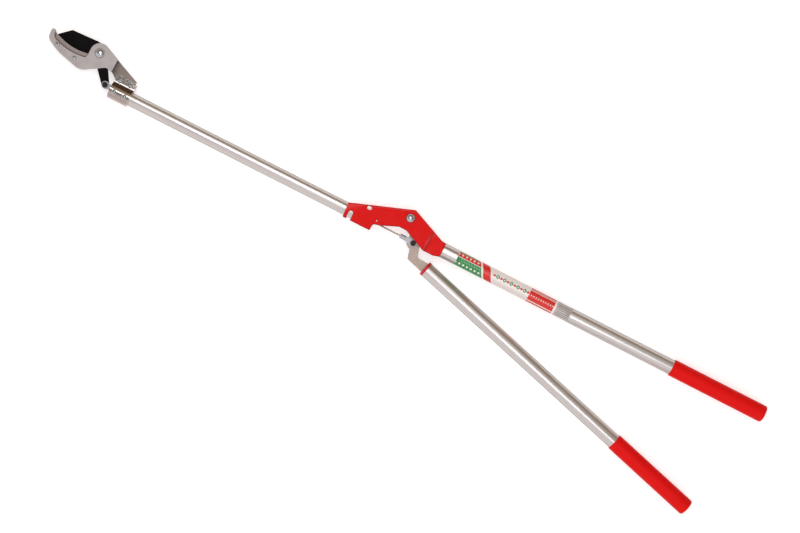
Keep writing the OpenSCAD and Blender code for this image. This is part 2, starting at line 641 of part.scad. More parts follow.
// ---- Main pivot ----
module main_pivot_bolt() color("#c9c7c4") placed() {
    translate([0, 0, wall_out]) dome(main_head_d / 2, main_head_h);
    translate([0, 0, low_z]) cylinder(r = pivot_r, h = wall_out - low_z + over);
}
module main_pivot_bush() color("#b08d57") placed() difference() {
    cylinder(r = bush_r, h = arm_t + 2 * side_gap, center = true);
    drill([0, 0], pivot_r + fit_gap);
}
module main_pivot_spacers() color("#8f8b88") placed() for (side = [0, 1]) mirror([0, 0, side])
    translate([0, 0, arm_t / 2 + side_gap]) difference() {
        cylinder(r = bush_r + 1.5, h = wall_in - arm_t / 2 - side_gap);
        drill([0, 0], pivot_r + fit_gap);
    }
module main_pivot_washer() color("#aaa6a3") placed() translate([0, 0, -wall_out - washer_t]) difference() {
    cylinder(d = washer_d, h = washer_t);
    drill([0, 0], pivot_r + fit_gap);
}
module main_pivot_nut() color("#aaa6a3") placed()
    nut([0, 0], -wall_out - washer_t, pivot_nut_af, pivot_nut_h, pivot_r + fit_gap);

// ---- Handles and grips ----
module grip(length) rotate([0, -90, 0]) difference() {
    rotate_extrude() difference() {
        union() {
            translate([0, grip_round]) square([grip_r, length - grip_round]);
            square([grip_r - grip_round, length]);
            translate([grip_r - grip_round, grip_round]) circle(r = grip_round);
        }
        translate([-2 * grip_r, -grip_r]) square([2 * grip_r, 2 * length]);
        polygon([[grip_r - grip_bevel, length + 0.01], [grip_r + 0.01, length - grip_bevel],
                 [grip_r + 1, length + 1]]);
    }
    translate([0, 0, grip_end]) cylinder(r = handle_r + fit_gap, h = length);
}
module fixed_handle_tube() color("#c6bbb4") at_handle() difference() {
    tube_x(-handle_seat / 2, handle_reach - seat_mid - grip_end, handle_r, handle_in);
    for (x = handle_rivet_x) translate([x - seat_mid, 0, -2 * handle_r])
        cylinder(d = rivet_d + 2 * fit_gap, h = 2 * handle_r);
}
module fixed_handle_grip() color("#e0191b") at_handle()
    translate([handle_reach - seat_mid, 0, 0]) grip(grip_len);
module lever_grip() color("#e0191b") at_lever() translate([lever_reach, 0, 0]) grip(lever_grip_len);

lever_screw_x = [collar_t / 2 + 12, collar_t / 2 + plug_len - 10];
module lever_tube() color("#c6bbb4") at_lever() difference() {
    tube_x(collar_t / 2, lever_reach - grip_end, handle_r, handle_in);
    for (x = lever_screw_x) translate([x, 0, -2 * handle_r])
        cylinder(d = saddle_screw_d + 2 * fit_gap, h = 2 * handle_r);
}
module lever_plug() color("#d2201c") at_lever() difference() {
    union() {
        rotate([0, 90, 0]) rotate_extrude() intersection() {
            translate([0, -collar_t / 2]) square([collar_r, collar_t]);
            translate([collar_r - 6, 0]) circle(r = 6);
        }
        along_x(-collar_t / 2, collar_t / 2) circle(r = handle_r - 0.5);
        along_x(collar_t / 2, collar_t / 2 + plug_len) circle(r = handle_in - fit_gap);
    }
    translate([-collar_t, -tang_w / 2 - fit_gap, -arm_t / 2 - fit_gap])
        cube([2 * collar_t + plug_len, tang_w + 2 * fit_gap, arm_t + 2 * fit_gap]);
    for (x = lever_screw_x) translate([x, 0, -2 * handle_r])
        cylinder(d = saddle_screw_d + 2 * fit_gap, h = 2 * handle_r);
}
module lever_screws() color("#9a9693") at_lever() for (x = lever_screw_x) rotate([180, 0, 0])
    button_screw([x, 0], handle_r, saddle_screw_d, 2 * saddle_screw_d, 2.2, handle_r + arm_t / 2 - 1, 2.5);

// ---- Lever arm ----
function on_lever(along, up) = socket + along * lever_dir + up * lever_up;
function edge_point(p, r) = [p[0], p[1], r];
arm_outline = [
    edge_point(lever_pin - [2, 8], 0), edge_point(lever_pin + [0.6, -19], 8),
    edge_point(on_lever(-38.2, -9.4), 4),
    edge_point(on_lever(-collar_t / 2, -9.4), 0.4), edge_point(on_lever(-collar_t / 2, -tang_w / 2), 0),
    edge_point(on_lever(tang_len, -tang_w / 2), 2), edge_point(on_lever(tang_len, tang_w / 2), 2),
    edge_point(on_lever(-collar_t / 2, tang_w / 2), 0), edge_point(on_lever(-collar_t / 2, 10.6), 0.4),
    edge_point(on_lever(-25.2, 5.6), 5), edge_point(lever_pin + [12.9, 2.5], 25),
    edge_point(lever_pin + [2, 14], 0)
];
// The web between the two bosses, which bows towards the handle
web_outline = [
    [-0.82 * arm_boss_r, -0.57 * arm_boss_r, 0],
    [lever_pin[0] - pin_boss_r - 4, 0.48 * lever_pin[1], 8],
    [lever_pin[0] - pin_boss_r, 0.68 * lever_pin[1], 6], [lever_pin[0] - pin_boss_r, lever_pin[1], 0],
    edge_point(lever_pin, 0), edge_point(lever_pin + [10.8, 5.5], 0),
    [0.91 * arm_boss_r, 0.41 * arm_boss_r, 0]
];
module lever_arm() color("#b4a596") placed() difference() {
    linear_extrude(arm_t, center = true) {
        circle(r = arm_boss_r);
        translate(lever_pin) circle(r = pin_boss_r);
        polygon(rounded(web_outline));
        polygon(rounded(arm_outline));
    }
    drill([0, 0], bush_r + run_gap);
    drill(lever_pin, pin_r + run_gap);
    for (x = lever_screw_x) translate([on_lever(x, 0)[0], on_lever(x, 0)[1], -arm_t])
        cylinder(d = saddle_screw_d + 2 * fit_gap, h = 2 * arm_t);
}

// ---- Rod and its two forks ----
rod_span = lever_pin - tail_pin_main;
rod_angle = atan2(rod_span[1], rod_span[0]) + asin(rod_rise / norm(rod_span));
rod_len = sqrt(pow(norm(rod_span), 2) - rod_rise * rod_rise);
module at_rod() placed() translate([tail_pin_main[0], tail_pin_main[1], 0]) rotate(rod_angle) children();
module pull_rod() color("#6d5f55") at_rod()
    along_x(upper_fork_len - rod_depth, rod_len - lower_fork_len + rod_depth) circle(d = rod_d);

// A fork with its pin at the origin and its neck towards +X, on a line at y = offset
module fork(eye_r, length, root, plate, side, offset) {
    half = plate / 2 + side;
    outer = half + fork_ear_t;
    difference() {
        union() {
            linear_extrude(2 * outer, center = true) {
                circle(r = eye_r);
                strip([0, 0], eye_r, [root, offset], fork_neck_d / 2 - 0.3);
                translate([root - 1, offset + 0.3 - fork_neck_d / 2]) square([3, fork_neck_d - 0.6]);
            }
            translate([0, offset, 0]) along_x(root, length) circle(d = fork_neck_d);
        }
        // The slot that the plate swings in
        translate([-2 * eye_r, -2 * eye_r, -half]) cube([2 * eye_r + root - 1, 4 * eye_r, 2 * half]);
        drill([0, 0], pin_r + fit_gap);
        translate([0, offset, 0]) along_x(length - rod_depth, length + over) circle(d = rod_d + 2 * fit_gap);
    }
}
lower_ear = arm_t / 2 + side_gap + fork_ear_t;
upper_ear = blade_t / 2 + 3 * side_gap + fork_ear_t;
module lower_fork() color("#c9c8c9")
    placed() translate([lever_pin[0], lever_pin[1], 0]) rotate(180 + rod_angle)
        fork(lower_eye_r, lower_fork_len, pin_boss_r + 2, arm_t, side_gap, -rod_rise);
module upper_fork() color("#c9c8c9") at_rod()
    fork(upper_eye_r, upper_fork_len, tail_r + tail_play + 4, blade_t, 3 * side_gap, 0);
module fork_pin(at, ear) headed_pin(at, ear, rod_pin_d, rod_pin_head_d, rod_pin_head_h, 2 * ear + 5.8, 5);
module lower_fork_pin() color("#211a18") placed() fork_pin(lever_pin, lower_ear);
module upper_fork_pin() color("#211a18") placed() fork_pin(tail_pin_main, upper_ear);
module lower_fork_nut() color("#9a9693") placed() nut(lever_pin, -lower_ear, 10, 5, pin_r + fit_gap);
module upper_fork_nut() color("#9a9693") placed() nut(tail_pin_main, -upper_ear, 10, 5, pin_r + fit_gap);

head_plate();
front_cheek();
anvil_insert();
anvil_screws();
anvil_nuts();
blade_pivot_bolt();
blade_pivot_bush();
blade_pivot_washer();
blade_pivot_nut();
pole_clamp();
clamp_bolts();
clamp_nuts();
saddle_screws();
pole();
bracket();
pole_rivets();
handle_rivets();
main_pivot_bolt();
main_pivot_bush();
main_pivot_spacers();
main_pivot_washer();
main_pivot_nut();
fixed_handle_tube();
fixed_handle_grip();
lever_arm();
lever_plug();
lever_tube();
lever_screws();
lever_grip();
pull_rod();
lower_fork();
lower_fork_pin();
lower_fork_nut();
upper_fork();
upper_fork_pin();
upper_fork_nut();
blade();
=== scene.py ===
import json
import math

import bmesh
import bpy
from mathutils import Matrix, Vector

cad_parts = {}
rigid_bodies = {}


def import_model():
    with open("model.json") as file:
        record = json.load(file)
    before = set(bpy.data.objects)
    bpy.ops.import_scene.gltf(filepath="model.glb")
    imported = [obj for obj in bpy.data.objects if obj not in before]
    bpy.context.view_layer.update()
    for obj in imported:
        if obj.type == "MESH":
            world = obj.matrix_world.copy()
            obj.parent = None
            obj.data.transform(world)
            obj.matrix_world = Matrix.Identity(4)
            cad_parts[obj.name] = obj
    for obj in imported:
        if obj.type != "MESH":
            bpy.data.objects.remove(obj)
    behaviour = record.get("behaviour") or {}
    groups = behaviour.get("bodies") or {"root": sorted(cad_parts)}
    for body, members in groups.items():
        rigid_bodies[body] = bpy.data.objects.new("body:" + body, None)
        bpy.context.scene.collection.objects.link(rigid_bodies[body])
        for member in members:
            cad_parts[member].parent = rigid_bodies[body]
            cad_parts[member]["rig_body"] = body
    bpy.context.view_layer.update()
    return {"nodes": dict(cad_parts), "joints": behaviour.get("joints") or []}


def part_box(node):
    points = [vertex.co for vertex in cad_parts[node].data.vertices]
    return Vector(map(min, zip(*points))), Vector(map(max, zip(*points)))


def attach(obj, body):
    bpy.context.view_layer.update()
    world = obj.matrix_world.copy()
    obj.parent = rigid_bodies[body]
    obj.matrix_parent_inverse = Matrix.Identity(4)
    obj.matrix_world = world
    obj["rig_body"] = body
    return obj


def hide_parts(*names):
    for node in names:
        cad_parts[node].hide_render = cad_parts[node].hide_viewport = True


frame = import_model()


# ---- Camera ----
# The tool lies flat and is looked at from straight above, from far enough for the
# tubes to keep their width. The camera is turned so that the pole slopes down to the right.
CAMERA_TURN = math.radians(26.9)
CAMERA_HEIGHT = 4.0                # above the plane of the tubes' axes
CAMERA_ASIDE = (0.0231, -0.0892)   # from the main pivot
FIELD_WIDTH = 1.496                # seen from side to side in that plane
SENSOR = 36.0


def placed(name, data):
    """An object that stands in the scene and holds this camera, mesh or lamp."""
    thing = bpy.data.objects.new(name, data)
    bpy.context.scene.collection.objects.link(thing)
    return thing


main_pivot = next(Vector(joint["pos_m"]) for joint in frame["joints"]
                  if joint["name"] == "lever_pivot")
camera = placed("camera", bpy.data.cameras.new("camera"))
camera.data.sensor_width = SENSOR
camera.data.lens = SENSOR * CAMERA_HEIGHT / FIELD_WIDTH
camera.data.clip_end = 50          # past the far rim of the floor
camera.location = main_pivot + Vector((*CAMERA_ASIDE, CAMERA_HEIGHT))
camera.rotation_euler = (0, 0, CAMERA_TURN)
bpy.context.scene.camera = camera


# ---- Head plate ----
# Blanked from 4 mm steel sheet and joggled in a press, then dull zinc phosphate plated.
# The crystals of the phosphate give a warm grey that scatters the light and mottles softly.
MM = 0.001
HAIR = 0.001 * MM              # corners closer than this are one corner
FLAT = math.radians(0.4)       # facets that meet at less than this are one face
SHARP = math.radians(30)       # edges sharper than this are broken
SPECK = 0.002 * MM             # shorter edges that the breaking leaves are closed up
CRISP = math.radians(40)       # edges still sharper than this show as lines
nodes = frame["nodes"]


def linear(code):
    """An sRGB hex colour as the linear values that a shader takes."""
    parts = [int(code[i:i + 2], 16) / 255 for i in (0, 2, 4)]
    return (*(c / 12.92 if c <= 0.04045 else ((c + 0.055) / 1.055) ** 2.4 for c in parts), 1)


def add(material, kind, inputs=None, **settings):
    """A node with its settings; each input takes a value, or the socket it is linked from."""
    node = material.node_tree.nodes.new(kind)
    for name, value in settings.items():
        setattr(node, name, value)
    for name, value in (inputs or {}).items():
        if isinstance(value, bpy.types.NodeSocket):
            material.node_tree.links.new(value, node.inputs[name])
        else:
            node.inputs[name].default_value = value
    return node


def finish(name, **values):
    """A material with one surface shader, and that shader, with these plain values on it."""
    material = bpy.data.materials.new(name)
    material.use_nodes = True
    shader = material.node_tree.nodes["Principled BSDF"]
    for socket, value in values.items():
        shader.inputs[socket.replace("_", " ")].default_value = value
    return material, shader


def grain(material, size, stretch=(1, 1, 1), turn=0, detail=4):
    """Noise whose patches are this many metres across, drawn out along the piece's axes."""
    place = add(material, "ShaderNodeTexCoord").outputs["Object"]
    turned = add(material, "ShaderNodeMapping", {"Vector": place, "Rotation": (0, 0, turn)})
    drawn = add(material, "ShaderNodeMapping",
                {"Vector": turned.outputs[0], "Scale": tuple(1 / s for s in stretch)})
    return add(material, "ShaderNodeTexNoise",
               {"Vector": drawn.outputs[0], "Scale": 1 / size, "Detail": detail}).outputs["Fac"]


def shade(material, factor, dark, light):
    """A colour between dark and light, which are hex codes or colours made before."""
    dark, light = (linear(c) if isinstance(c, str) else c for c in (dark, light))
    return add(material, "ShaderNodeMix", {0: factor, 6: dark, 7: light},
               data_type="RGBA").outputs[2]


def tint(material, shader, factor, dark, light):
    """The surface colour goes from dark to light with the factor."""
    material.node_tree.links.new(shade(material, factor, dark, light),
                                 shader.inputs["Base Color"])


def polish(material, shader, grains, low, high):
    """The roughness goes from low to high with the grain, which lies mostly in 0.3 to 0.7."""
    spread = add(material, "ShaderNodeMapRange", {0: grains, 1: 0.3, 2: 0.7, 3: low, 4: high})
    material.node_tree.links.new(spread.outputs[0], shader.inputs["Roughness"])


def relief(material, shader, height, depth):
    """The surface rises and falls by this many metres with the height."""
    bump = add(material, "ShaderNodeBump", {"Height": height, "Distance": depth, "Strength": 1})
    material.node_tree.links.new(bump.outputs[0], shader.inputs["Normal"])


def filled(form, name, material):
    """The finished form as a mesh of this material."""
    mesh = bpy.data.meshes.new(name)
    form.to_mesh(mesh)
    form.free()
    mesh.materials.append(material)
    return mesh


def softened(name, material, edge, rolled=None, roll=0):
    """A copy of a CAD piece with its sharp edges broken, which stands in that piece's place.
    Edges that rolled picks are first rounded by roll."""
    form = bmesh.new()
    form.from_mesh(nodes[name].data)
    bmesh.ops.remove_doubles(form, verts=form.verts, dist=HAIR)
    bmesh.ops.dissolve_limit(form, angle_limit=FLAT, verts=form.verts, edges=form.edges)
    # the width, the rows of facets and the choice of edges, for each of two passes
    for size, steps, chosen in ((roll, 4, rolled), (edge, 2, lambda line: True)):
        if chosen:
            corners = [line for line in form.edges if line.is_manifold and chosen(line)
                       and line.calc_face_angle(0) > SHARP]
            bmesh.ops.bevel(form, geom=corners, offset=size, segments=steps, profile=0.5,
                            affect="EDGES", clamp_overlap=True)
            bmesh.ops.dissolve_degenerate(form, dist=SPECK, edges=form.edges)
            bmesh.ops.remove_doubles(form, verts=form.verts, dist=SPECK)
    bmesh.ops.triangulate(form, faces=[face for face in form.faces if len(face.verts) > 4])
    bmesh.ops.dissolve_degenerate(form, dist=SPECK, edges=form.edges)
    for face in form.faces:
        face.smooth = True
    mesh = filled(form, name + "_edged", material)
    mesh.set_sharp_from_angle(angle=CRISP)
    piece = placed(name + "_edged", mesh)
    weigh = piece.modifiers.new("weigh", "WEIGHTED_NORMAL")
    weigh.keep_sharp = True
    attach(piece, nodes[name]["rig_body"])
    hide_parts(name)


phosphate, shader = finish("zinc_phosphated_steel", Metallic=0.7, Roughness=0.5)
mottle = grain(phosphate, 6 * MM)
tint(phosphate, shader, mottle, "776D67", "91867F")
polish(phosphate, shader, grain(phosphate, 1.5 * MM), 0.42, 0.56)
# real crystals are too fine to show: 0.02 mm
relief(phosphate, shader, grain(phosphate, 0.7 * MM), 0.02 * MM)
softened("head_plate", phosphate, 0.35 * MM)


# ---- Front cheek and hook ----
# A zinc die casting with a bevel all round, shot-blasted before it is plated. The blasting
# leaves a fine even frost, so the grey never mirrors. Its edges are painted lighter as a painted
# highlight.
def rim(material, reach):
    """From 0 on a plain face to 1 at an edge that is less than this reach away."""
    plain, edge = 0.998, 0.93      # cosine between the surface and its rounded copy
    face = add(material, "ShaderNodeNewGeometry").outputs["Normal"]
    rounded = add(material, "ShaderNodeBevel", {"Radius": reach}, samples=6).outputs[0]
    cosine = add(material, "ShaderNodeVectorMath", {0: rounded, 1: face},
                 operation="DOT_PRODUCT").outputs["Value"]
    return add(material, "ShaderNodeMapRange", {0: cosine, 1: plain, 2: edge}).outputs[0]


def dress(material, *names):
    """CAD pieces whose shape is right take this material."""
    for name in names:
        for slot in nodes[name].material_slots:
            slot.material = material


blasted, shader = finish("shot_blasted_zinc_casting", Metallic=0.8, Roughness=0.5)
frost = shade(blasted, grain(blasted, 14 * MM), "9C9594", "B2ABAA")
# painted highlight: the colour is lighter at the edges
tint(blasted, shader, rim(blasted, 1.6 * MM), frost, "D2CBC9")
polish(blasted, shader, grain(blasted, 2 * MM), 0.44, 0.56)
# real frost is finer: 0.1 mm
relief(blasted, shader, grain(blasted, 0.5 * MM), 0.02 * MM)
dress(blasted, "front_cheek")


# ---- Anvil insert ----
# A strip of hardened steel that the cutting edge shuts on, ground on its top face.
# Heat has browned it, and the grinding shows as fine lines along it.
def corner_shade(material, reach, closed, clear):
    """The factor for painted shade: from 0 in a corner narrower than this reach to 1 on an open
    face.
    """
    shut = add(material, "ShaderNodeAmbientOcclusion", {"Distance": reach}, samples=8)
    return add(material, "ShaderNodeMapRange",
               {0: shut.outputs["AO"], 1: closed, 2: clear}).outputs[0]


browned, shader = finish("heat_browned_steel", Metallic=0.9, Roughness=0.42)
lines = grain(browned, 0.5 * MM, stretch=(12, 1, 1))    # real ones are finer: 0.1 mm
brown = shade(browned, lines, "7A6F69", "9A8E88")
# painted shadow: the anvil goes near black in corners, such as along the blade's edge
tint(browned, shader, corner_shade(browned, 3 * MM, 0.5, 0.95), "3A302A", brown)
relief(browned, shader, lines, 0.02 * MM)
softened("anvil_insert", browned, 0.08 * MM)


# ---- Screws, bolts, washers and nuts ----
# Cold-headed steel with threads rolled on, barrel-plated in bright zinc.
# Tumbling in the barrel leaves small dull patches on a mirror-like coat.
zinc, shader = finish("bright_zinc_plate", Metallic=1.0, Roughness=0.22)
patches = grain(zinc, 2.2 * MM, detail=6)
bright = shade(zinc, patches, "90979A", "C9CDCE")
# painted shade: the zinc goes near black in sockets and corners
tint(zinc, shader, corner_shade(zinc, 2.5 * MM, 0.4, 0.9), "3C3E3C", bright)
polish(zinc, shader, patches, 0.08, 0.24)
relief(zinc, shader, grain(zinc, 3 * MM), 0.05 * MM)
dress(zinc, "anvil_screws", "anvil_nuts", "blade_pivot_washer", "blade_pivot_nut", "clamp_nuts",
      "saddle_screws", "main_pivot_spacers", "main_pivot_washer", "main_pivot_nut",
      "lever_screws", "lower_fork_nut", "upper_fork_nut")
for bolt in ("blade_pivot_bolt", "clamp_bolts", "main_pivot_bolt"):
    softened(bolt, zinc, 0.12 * MM)


# ---- Blade ----
# Carbon steel, ground on one side, then sprayed with a fluoropolymer coat and baked.
# The thin baked film is almost black and gives off only a weak, wide gleam.
coat, shader = finish("baked_fluoropolymer_coat", IOR=1.35, Roughness=0.45,
                      Specular_IOR_Level=0.1)
tint(coat, shader, grain(coat, 5 * MM), "060505", "0C0A09")
polish(coat, shader, grain(coat, 1.2 * MM), 0.36, 0.52)
# the real spray's grain is finer: 0.2 mm
relief(coat, shader, grain(coat, 0.8 * MM), 0.012 * MM)
softened("blade", coat, 0.08 * MM)


# ---- Pivot bushes ----
# Turned from bronze bar, with the tool's fine rings left on them. They carry the
# blade and the lever on their bolts.
bronze, shader = finish("turned_bronze", Metallic=1.0, Roughness=0.3)
rings = grain(bronze, 0.4 * MM, stretch=(1, 1, 8))
tint(bronze, shader, rings, "9C7441", "B98E57")
relief(bronze, shader, rings, 0.01 * MM)
dress(bronze, "blade_pivot_bush", "main_pivot_bush")


# ---- Pole clamp ----
# Folded from 4 mm steel strip round the pole and chromed over nickel.
# A thin chrome layer mirrors its surroundings, with slow ripples from the folding.
STRIP = 4 * MM
FLANGE_TOP = 6 * MM             # above the pole's axis
# the strip turns up from the flange in a wide bend, and meets the saddle in a narrow one
BEND = 12 * MM
BEND_START = 18.2 * MM          # from the pole's axis
BEND_TURN = math.radians(17)
BEND_STEPS = 6
BEND_SUNK = 1 * MM              # the bend's lower side lies this deep in the strip
BEND_INSET = 0.2 * MM           # from the strip's broken edges
FOOT_INSET = 0.3 * MM           # from the bend's end to where it meets the saddle
ON_RIM = 0.01 * MM              # this close to the strip's border is on it
# a dark brown reflection is painted along the fold: at either side of it the colour goes from
# the plain chrome to dark brown between these distances from the pole's axis
DARK_BAND = (7 * MM, 11 * MM), (14.7 * MM, 14.2 * MM)
pole_low, pole_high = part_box("pole")
pole_y, pole_z = (pole_low.y + pole_high.y) / 2, (pole_low.z + pole_high.z) / 2
clamp_low, clamp_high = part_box("pole_clamp")
saddle_r = (clamp_high.z - clamp_low.z) / 2


def at_rim(line):
    """Whether an edge of the clamp lies in the strip's two ends or its free border."""
    middle = (line.verts[0].co + line.verts[1].co) / 2
    return (min(middle.x - clamp_low.x, clamp_high.x - middle.x) < ON_RIM
            or clamp_high.y - middle.y < ON_RIM)


chrome, shader = finish("chromed_steel_strip", Metallic=1.0, Roughness=0.16)
tarnish_and_highlight = shade(chrome, grain(chrome, 2.5 * MM, stretch=(2, 1, 1)), "8F847D", "BAB1AC")
# painted highlight: the strip's edges are painted almost white
tarnish_and_highlight = shade(chrome, rim(chrome, 1.2 * MM), tarnish_and_highlight, "E8E2DE")
across = add(chrome, "ShaderNodeSeparateXYZ",
             {"Vector": add(chrome, "ShaderNodeTexCoord").outputs["Object"]}).outputs["Y"]
near, far = (add(chrome, "ShaderNodeMapRange",
                 {0: across, 1: pole_y + bright, 2: pole_y + darkest}).outputs[0]
             for bright, darkest in DARK_BAND)
painted_reflection = add(chrome, "ShaderNodeMath", {0: near, 1: far}, operation="MULTIPLY").outputs[0]
# painted reflection: a dark brown band along the fold
tint(chrome, shader, painted_reflection, tarnish_and_highlight, "4A3728")
polish(chrome, shader, grain(chrome, 3 * MM), 0.05, 0.14)
relief(chrome, shader, grain(chrome, 5 * MM, detail=2), 0.02 * MM)
softened("pole_clamp", chrome, 0.2 * MM, rolled=at_rim, roll=0.9 * MM)

sunk_z = FLANGE_TOP - BEND_SUNK
outline = [(saddle_r - STRIP + BEND_SUNK, sunk_z), (BEND_START, sunk_z)]
for k in range(BEND_STEPS + 1):
    angle = BEND_TURN * k / BEND_STEPS
    outline.append((BEND_START - BEND * math.sin(angle),
                    FLANGE_TOP + BEND * (1 - math.cos(angle))))
foot = outline[-1][0] - FOOT_INSET
outline.append((foot, math.sqrt(saddle_r ** 2 - foot ** 2)))
form = bmesh.new()
ends = [[form.verts.new((x, pole_y + y, pole_z + z)) for y, z in outline]
        for x in (clamp_low.x + BEND_INSET, clamp_high.x - BEND_INSET)]
for k in range(len(outline)):
    after = (k + 1) % len(outline)
    face = form.faces.new((ends[0][k], ends[0][after], ends[1][after], ends[1][k]))
    face.smooth = 2 <= k < len(outline) - 1     # the bend itself, not the flat sides under it
for end in ends:
    form.faces.new(end)
bmesh.ops.recalc_face_normals(form, faces=form.faces)
mesh = filled(form, "clamp_bend", chrome)
mesh.set_sharp_from_angle(angle=SHARP)
bend = placed("clamp_bend", mesh)
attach(bend, "frame")


# ---- Pole ----
# Aluminium tube drawn through a die and clear-anodised. The die's fine lines run along it,
# and the oxide gives them a satin sheen and browns what the tube mirrors at its sides.
def drawn_aluminium(name, lean):
    """Anodised tube whose die lines run at this angle; real ones are finer, about 0.1 mm."""
    material, shader = finish(name, Metallic=1.0, Roughness=0.33,
                              Specular_Tint=linear("6E5F4F"))
    lines = grain(material, 0.45 * MM, stretch=(160, 1, 1), turn=lean)
    cloud = grain(material, 30 * MM, stretch=(4, 1, 1), turn=lean)
    tint(material, shader, lines, "C2BEBC", "CCC9C7")
    polish(material, shader, cloud, 0.31, 0.37)
    relief(material, shader, lines, 0.006 * MM)
    return material


dress(drawn_aluminium("drawn_anodised_pole", 0), "pole")


# ---- Bracket and its rivets ----
# Folded from 2 mm steel sheet, riveted to both tubes and dip-enamelled in red.
# The stoved enamel is glossy, with a shallow orange peel about 2 mm across. Painted shade
# darkens the red in corners and at the edges, and on the slope where the bracket widens, up to the
# slope's crest.
SLOPE_NORMAL = (-0.243, 0, 0.97)
SLOPE_MATCH = 0.985, 0.998      # cosine of the angle to it, off the slope and on it
CREST = 51.8 * MM               # along X from the main pivot
SLOPE_SHADE_REACH = 6 * MM
enamel, shader = finish("stoved_red_enamel", IOR=1.5, Roughness=0.16, Specular_IOR_Level=0.2)
# painted shade: the red is darker in corners and creases, and darker still at the edges
red_with_shade = shade(enamel, corner_shade(enamel, 5 * MM, 0.6, 0.97), "8E0B0A", "D5110E")
red_with_shade = shade(enamel, rim(enamel, 2.4 * MM), red_with_shade, "7A1210")
slope = add(enamel, "ShaderNodeVectorMath",
            {0: add(enamel, "ShaderNodeNewGeometry").outputs["True Normal"], 1: SLOPE_NORMAL},
            operation="DOT_PRODUCT").outputs["Value"]
slope = add(enamel, "ShaderNodeMapRange",
            {0: slope, 1: SLOPE_MATCH[0], 2: SLOPE_MATCH[1]}).outputs[0]
crest_x = main_pivot.x + CREST
rise = add(enamel, "ShaderNodeSeparateXYZ",
           {"Vector": add(enamel, "ShaderNodeTexCoord").outputs["Object"]}).outputs["X"]
rise = add(enamel, "ShaderNodeMapRange",
           {0: rise, 1: crest_x - SLOPE_SHADE_REACH, 2: crest_x}).outputs[0]
slope_shade = add(enamel, "ShaderNodeMath", {0: slope, 1: rise}, operation="MULTIPLY").outputs[0]
# painted shade on the slope where the bracket widens, darkest at its crest
tint(enamel, shader, slope_shade, red_with_shade, "8C0F0C")
polish(enamel, shader, grain(enamel, 6 * MM), 0.12, 0.2)
relief(enamel, shader, grain(enamel, 2.2 * MM, detail=1), 0.03 * MM)
softened("bracket", enamel, 0.7 * MM)
for rivets in ("pole_rivets", "handle_rivets"):
    softened(rivets, enamel, 0.1 * MM)


# ---- Fixed handle ----
# The same drawn tube in a larger size, leaning a fifth of a degree away from the pole.
# It is riveted into the wide end of the bracket.
HANDLE_LEAN = math.radians(0.2)
dress(drawn_aluminium("drawn_anodised_handle", HANDLE_LEAN), "fixed_handle_tube")


# ---- Label ----
# Printed film wrapped once round the fixed handle, with its seam underneath.
# The print is a plain pattern of blocks, diamonds and stripes under a gloss varnish.
LABEL_START = 111 * MM          # along X from the main pivot
LABEL_LONG = 236 * MM
LABEL_OUT = 0.09 * MM           # from the tube to the film's printed face
LABEL_FILM = 0.06 * MM
LABEL_SEAM = math.radians(6)    # left open
LABEL_SLANT = 0.45              # how far along the slanting blocks go for each step around
LABEL_TOP = 44.3                # around, in millimetres, opposite the seam
RUNS, TURNS = 24, 128           # facets along it and around it
PAPER, GREEN, LEAF, RED, CREAM = "E9E2DF", "1E7E3D", "58A467", "D2261E", "F1EBE6"
MINT, SAND, GREY, SLATE = "3B8C52", "C3B9B4", "B9B3B1", "7C7673"
tube_low, tube_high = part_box("fixed_handle_tube")
grip_low, grip_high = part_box("fixed_handle_grip")
tube_z = (tube_low.z + tube_high.z) / 2
label_r = (tube_high.z - tube_low.z) / 2 + LABEL_OUT
printed, shader = finish("varnished_printed_film", IOR=1.48, Roughness=0.25)

# the print is laid out in millimetres: along from the bracket's end, around from the seam
place = add(printed, "ShaderNodeSeparateXYZ",
            {"Vector": add(printed, "ShaderNodeTexCoord").outputs["UV"]}).outputs
along, around = (add(printed, "ShaderNodeMath", {0: place[axis], 1: size / MM},
                     operation="MULTIPLY").outputs[0]
                 for axis, size in (("X", LABEL_LONG), ("Y", 2 * math.pi * label_r)))
lean = add(printed, "ShaderNodeMath", {0: around, 1: LABEL_SLANT},
           operation="MULTIPLY").outputs[0]
slanted = add(printed, "ShaderNodeMath", {0: along, 1: lean}, operation="SUBTRACT").outputs[0]


def both(first, second):
    """1 where both masks are 1."""
    return add(printed, "ShaderNodeMath", {0: first, 1: second}, operation="MULTIPLY").outputs[0]


def band(value, low, high):
    """1 where the value lies between low and high, and 0 elsewhere."""
    above, below = (add(printed, "ShaderNodeMath", {0: value, 1: limit}, operation=how).outputs[0]
                    for limit, how in ((low, "GREATER_THAN"), (high, "LESS_THAN")))
    return both(above, below)


def off(value, line):
    """How far the value lies from a line, on either side of it."""
    past = add(printed, "ShaderNodeMath", {0: value, 1: line}, operation="SUBTRACT").outputs[0]
    return add(printed, "ShaderNodeMath", {0: past}, operation="ABSOLUTE").outputs[0]


def off_nearest(value, pitch, start=0):
    """How far the value lies from the nearest of the lines that follow at this pitch."""
    past = add(printed, "ShaderNodeMath", {0: value, 1: start}, operation="SUBTRACT").outputs[0]
    return add(printed, "ShaderNodeMath", {0: past, 1: pitch / 2}, operation="PINGPONG").outputs[0]


def stripes(value, pitch, wide):
    """1 on stripes this wide that follow at this pitch."""
    return add(printed, "ShaderNodeMath", {0: off_nearest(value, pitch), 1: wide / 2},
               operation="LESS_THAN").outputs[0]


def diamond(x, y, reach):
    """1 inside a diamond with this reach from its middle to its points."""
    spread = add(printed, "ShaderNodeMath", {0: x, 1: y}, operation="ADD").outputs[0]
    return add(printed, "ShaderNodeMath", {0: spread, 1: reach}, operation="LESS_THAN").outputs[0]


